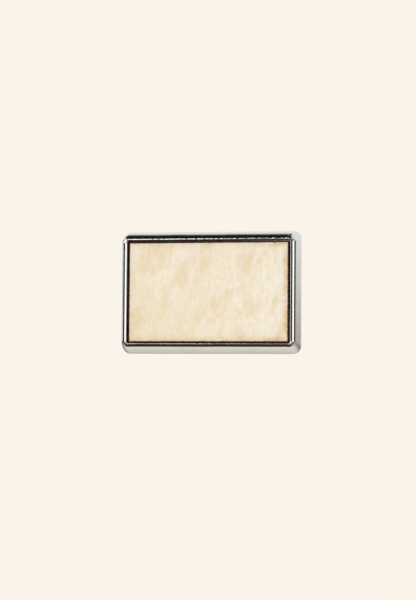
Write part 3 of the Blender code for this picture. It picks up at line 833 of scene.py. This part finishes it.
def finish_sheet(piece, thickness):
    """Gives a surface its thickness and rounds the edges of the sheet."""
    solid = piece.modifiers.new("Sheet", "SOLIDIFY")
    solid.thickness = thickness
    solid.offset = 0
    solid.use_even_offset = True
    edge = piece.modifiers.new("Rounded edge", "BEVEL")
    edge.width = thickness * 0.28
    edge.segments = 2
    edge.limit_method = "ANGLE"
    edge.angle_limit = math.radians(50)


def base_strip(side, look, finish):
    """The strip on the cup's floor, with both folds and a round hole for the cup's funnel."""
    x, height, z = hinge_of(side, "upper")
    reach = abs(z)
    opened = math.radians(116) + look.slope
    fold = look.fold * (math.radians(270) - opened)
    total = 2 * fold + 2 * reach
    hole = 1.68 * MM
    at = rows_along(total, 0.12 * MM, (total / 2 - hole, total / 2 + hole), 0.4 * MM)
    start = (-reach + look.fold * math.cos(opened), height + look.fold * math.sin(opened))
    knots = [0, fold, fold + 2 * reach, total]
    headings = [opened - math.radians(270), 0, 0, math.radians(270) - opened]
    line, heading = bent_line(start, knots, headings, at)
    from_end = np.minimum(at, total - at)
    share = smooth_step(from_end, look.fold, look.fold + 2 * MM)
    half_width = (STRIP_ROOT + STRIP_FLARE * share) * MM
    half_hole = np.sqrt(np.maximum(hole**2 - (at - total / 2) ** 2, 0))
    points, faces = strip_surface(line, heading, half_width, half_hole, np.zeros(len(at)), x)
    node = f"{side}_spring"
    piece = new_piece(f"{side}_clutch_strip", points, faces, f"{side}_clutch", [node], finish)
    finish_sheet(piece, look.spring_sheet)


def finger_wing(side, which, look, finish):
    """One leaf with its eye and its finger wing, which flares, curls over and has round corners."""
    x, height, z = hinge_of(side, which)
    up = -math.copysign(1, z)
    reach = abs(z)
    jaw = look.post_radius + JAW_GAP
    pinched = look.slope + PINCH
    far = reach + look.post_radius + 0.12 * MM + look.fold * math.sin(pinched)
    back = far / math.cos(pinched) * math.cos(look.slope) - look.fold * math.sin(look.slope) - reach
    start = (-look.fold * math.sin(look.slope), look.fold * math.cos(look.slope))
    post_at = (reach - start[0]) / math.cos(look.slope)
    tongue = (back + 0.35 * MM) / math.cos(look.slope)
    leaf_end = post_at + tongue + 0.5 * MM / math.cos(look.slope)
    bend_length = 0.8 * MM * (look.wing_slope - look.slope)
    curl_length = 0.9 * MM * look.wing_slope
    knots = np.cumsum([0, leaf_end, bend_length, 3.0 * MM, curl_length, 0.5 * MM])
    headings = [look.slope, look.slope, look.wing_slope, look.wing_slope, 0, 0]
    total = knots[-1]
    eye = (post_at - jaw / math.cos(look.slope), post_at + back / math.cos(look.slope))
    at = rows_along(total, 0.10 * MM, (*eye, total), 0.5 * MM)
    line, heading = bent_line(start, knots, headings, at)
    line[:, 0] = z + up * line[:, 0]
    line[:, 1] += height
    if up < 0:
        heading = np.pi - heading

    has_window = which == "upper"
    rail = look.post_radius + 0.16 * MM
    tongue_half = rail + 0.32 * MM
    waist = 2.3 * MM if has_window else tongue_half
    half_eye = tongue_half + 0.3 * MM if has_window else rail
    root = smooth_step(at, 0, 2 * MM)
    spread = smooth_step(at, leaf_end, leaf_end + 3.0 * MM)
    width = (STRIP_ROOT + STRIP_FLARE * root + 1.1 * spread) * MM
    beyond = smooth_step(np.abs(at - post_at), tongue, tongue + 0.5 * MM)
    half_width = waist + (width - waist) * beyond
    tip_round = 1.1 * MM
    into = np.maximum(at - (total - tip_round), 0)
    half_width = half_width - tip_round + np.sqrt(np.maximum(tip_round**2 - into**2, 0))
    centre, half_length = (eye[0] + eye[1]) / 2, (eye[1] - eye[0]) / 2
    part = np.minimum(np.abs(at - centre) / half_length, 1)
    half_hole = half_eye * (1 - part**5) ** 0.2
    crown = -0.22 * MM * smooth_step(at, leaf_end, leaf_end + 1.5 * MM)
    points, faces = strip_surface(line, heading, half_width, half_hole, crown, x)
    node = f"{side}_{which}_wing"
    piece = new_piece(f"{side}_{which}_finger_wing", points, faces, node, [node], finish)
    finish_sheet(piece, look.spring_sheet)


class BADGE_OT_tray(bpy.types.Operator):
    """Makes the cast tray with its bead"""

    bl_idname = "badge.make_tray"
    bl_label = "Make Tray"

    def execute(self, context):
        look = context.scene.badge_tray
        points, masks = tray_surface(look)
        finish = polished_plating(look)
        new_piece("cast_tray", points, ring_faces(points), "badge", ["tray"], finish, 48, masks)
        return {"FINISHED"}


class BADGE_OT_panel(bpy.types.Operator):
    """Makes the three plies of the birch panel and the adhesive film under them"""

    bl_idname = "badge.make_panel"
    bl_label = "Make Panel"

    def execute(self, context):
        look = context.scene.badge_panel
        for seed, ply in enumerate(("face", "core", "back")):
            node = f"{ply}_veneer"
            half_x, half_z, centre, _, _ = half_sizes(node)
            finish = birch(f"birch_{ply}", look, half_x, half_z, centre)
            steps = (520, 320, 14) if ply == "face" else (300, 190, 8)
            points = plate_surface(node, look.corner, look.edge, look.kerf, seed, steps)
            new_piece(f"birch_{ply}_ply", points, ring_faces(points), "badge", [node], finish)
        points = plate_surface("adhesive_film", look.corner, 0.03 * MM, look.kerf, 7, (120, 80, 8))
        nodes = ["adhesive_film"]
        new_piece("transfer_adhesive", points, ring_faces(points), "badge", nodes, adhesive())
        return {"FINISHED"}


class BADGE_OT_posts(bpy.types.Operator):
    """Makes both posts and the solder that holds them"""

    bl_idname = "badge.make_posts"
    bl_label = "Make Posts"

    def execute(self, context):
        look = context.scene.badge_fastening
        steel, tin = drawn_steel(look), solder_tin(look)
        for seed, side in enumerate(SIDES):
            x = hinge_of(side, "upper")[0]
            points = post_surface(f"{side}_post", look, x)
            faces = ring_faces(points)
            new_piece(f"{side}_steel_post", points, faces, "badge", [f"{side}_post"], steel)
            points = solder_surface(f"{side}_solder", x, seed)
            nodes = [f"{side}_solder"]
            new_piece(f"{side}_solder_ring", points, ring_faces(points), "badge", nodes, tin, 60)
        return {"FINISHED"}


class BADGE_OT_clutches(bpy.types.Operator):
    """Makes both butterfly clutches"""

    bl_idname = "badge.make_clutches"
    bl_label = "Make Clutches"

    def execute(self, context):
        look = context.scene.badge_fastening
        nickel, steel = barrel_nickel(look), spring_strip(look)
        for side in SIDES:
            x = hinge_of(side, "upper")[0]
            points = cup_surface(f"{side}_cup", look, x)
            faces = ring_faces(points, wrap_rows=True)
            nodes = [f"{side}_cup"]
            new_piece(f"{side}_clutch_cup", points, faces, f"{side}_clutch", nodes, nickel, 50)
            base_strip(side, look, steel)
            for which in ("upper", "lower"):
                finger_wing(side, which, look, steel)
        return {"FINISHED"}


def studio(look):
    """What surrounds the badge: a plain backdrop for the camera, soft light, and what metal reflects.

    Polished metal shows a dark room in front with three bright windows, pale walls outside it, and the
    pale ground behind the badge. Azimuth is measured from the front towards the badge's right, and
    height is measured up from the level, both in degrees.
    """
    world = bpy.data.worlds.new("studio")
    world.use_nodes = True
    bpy.context.scene.world = world
    room = Recipe(world.node_tree)
    x, y, z = room.axes(room.node("ShaderNodeTexCoord"))
    azimuth = x.maths("ARCTAN2", y * -1.0) * math.degrees(1)
    height = z.maths("ARCSINE") * math.degrees(1)

    # A direction counts as behind from this Y on, which is less below the badge and at the upper right.
    below, above = z.ramp(-0.1, -0.7), z.ramp(0.1, 0.7)
    edge = 0.76 - below * 0.58 - above * 0.02 - above * x.ramp(-0.12, 0.25) * 0.5
    behind = ((y - edge) / (0.06 + above * 0.05)).ramp(0.0, 1.0)
    paper = PAPER_FOOT
    for band, tone in PAPER_BANDS:
        paper = room.mix(height.ramp(*band), paper, tone)

    # The dark room: an upright slab, a level one in front, and a narrow strip nearly all round.
    off_level = (height - EYE_HEIGHT).maths("ABSOLUTE")
    level = off_level.ramp(30, 17)
    upright = (x + 0.19).maths("ABSOLUTE").ramp(0.44, 0.26)
    narrow = off_level.ramp(11, 4) * azimuth.maths("ABSOLUTE").ramp(144, 136)
    shaded = upright.maths("MAXIMUM", level * azimuth.ramp(75, 45) * azimuth.ramp(-134, -126))
    shaded = shaded.maths("MAXIMUM", narrow)
    dusk = room.mix(z.ramp(0.02, -0.12), DUSK, DUSK_BELOW)
    dusk = room.mix(azimuth.ramp(35, 65), dusk, DUSK_RIGHT)
    dusk = room.mix(azimuth.ramp(-18, -50) * level, dusk, DUSK_LEFT)
    walls = room.mix(z.ramp(-0.7, 0.8), WALL_FOOT, WALL_TOP)
    seen = room.mix(behind, room.mix(shaded, walls, dusk), paper)

    panes = []
    for left, right, low, high, strength in WINDOWS:
        across = azimuth.ramp(*left) * azimuth.ramp(*right)
        panes.append(across * height.ramp(*low) * height.ramp(*high) * strength)
    window = panes[0].maths("MAXIMUM", panes[1]).maths("MAXIMUM", panes[2])
    seen = room.mix(window, seen, WINDOW_LIGHT)

    rays = room.node("ShaderNodeLightPath").socket.node
    lit = room.mix(Term(room, rays.outputs["Is Glossy Ray"]), SOFT_LIGHT, seen)
    shown = room.mix(Term(room, rays.outputs["Is Camera Ray"]), lit, look.backdrop)
    surface = room.node("ShaderNodeBackground", None, shown, 1.0)
    room.node("ShaderNodeOutputWorld", None, surface)


class BADGE_OT_stage(bpy.types.Operator):
    """Makes the floor, the light and the camera"""

    bl_idname = "badge.make_stage"
    bl_label = "Make Stage"

    def execute(self, context):
        look = context.scene.badge_stage
        studio(look)
        mesh = bpy.data.meshes.new("floor")
        corners = np.array([(-1, -1), (1, -1), (1, 1), (-1, 1)]) * look.floor_reach
        mesh.from_pydata([(x, y, -look.floor_drop) for x, y in corners], [], [(0, 1, 2, 3)])
        ground = Finish("floor_paper", Roughness=0.9, Specular_IOR_Level=0.1)
        fine = ground.noise(ground.millimetres(), 0.4, detail=3.0)
        ground.set(Base_Color=ground.mix(fine * 0.04, *FLOOR_TONES))
        mesh.materials.append(ground.material)
        floor = bpy.data.objects.new("floor", mesh)
        floor.visible_glossy = False
        context.scene.collection.objects.link(floor)

        lamp = bpy.data.lights.new("soft_key", "SUN")
        lamp.energy = look.key_energy
        lamp.angle = KEY_WIDTH
        key = bpy.data.objects.new("soft_key", lamp)
        key.rotation_euler = KEY_TURN
        key.visible_glossy = False
        context.scene.collection.objects.link(key)

        camera = bpy.data.objects.new("camera", bpy.data.cameras.new("camera"))
        camera.data.sensor_fit = "VERTICAL"
        camera.data.sensor_height = 36
        camera.data.lens = look.lens
        camera.data.clip_start = 0.01
        camera.data.clip_end = 20
        back = Vector((
            math.sin(look.azimuth) * math.cos(look.elevation),
            -math.cos(look.azimuth) * math.cos(look.elevation),
            math.sin(look.elevation),
        ))
        level = Vector((0, 0, 1)).cross(back).normalized()
        right = Matrix.Rotation(look.roll, 3, back) @ level
        up = back.cross(right)
        turn = Matrix((right, up, back)).transposed().to_4x4()
        aim = Vector((look.aim_x, 0, look.aim_z))
        camera.matrix_world = Matrix.Translation(aim + back * look.distance) @ turn
        context.scene.collection.objects.link(camera)
        context.scene.camera = camera
        context.scene.view_settings.view_transform = "Standard"
        return {"FINISHED"}


class BADGE_PT_panel(bpy.types.Panel):
    """Lists the badge's pieces"""

    bl_label = "Badge"
    bl_space_type = "VIEW_3D"
    bl_region_type = "UI"
    bl_category = "Badge"

    def draw(self, context):
        for group, (settings, *operators) in GROUPS.items():
            for name in settings.__annotations__:
                self.layout.prop(getattr(context.scene, group), name)
            for operator in operators:
                self.layout.operator(operator.bl_idname)


GROUPS = {
    "badge_tray": (TraySettings, BADGE_OT_tray),
    "badge_panel": (PanelSettings, BADGE_OT_panel),
    "badge_fastening": (FasteningSettings, BADGE_OT_posts, BADGE_OT_clutches),
    "badge_stage": (StageSettings, BADGE_OT_stage),
}


def register():
    for group, kinds in GROUPS.items():
        for kind in kinds:
            bpy.utils.register_class(kind)
        setattr(bpy.types.Scene, group, PointerProperty(type=kinds[0]))
    bpy.utils.register_class(BADGE_PT_panel)


def unregister():
    bpy.utils.unregister_class(BADGE_PT_panel)
    for group, kinds in GROUPS.items():
        delattr(bpy.types.Scene, group)
        for kind in reversed(kinds):
            bpy.utils.unregister_class(kind)


def main():
    register()
    bpy.ops.badge.make_tray()
    bpy.ops.badge.make_panel()
    bpy.ops.badge.make_posts()
    bpy.ops.badge.make_clutches()
    bpy.ops.badge.make_stage()


if __name__ == "__main__":
    main()
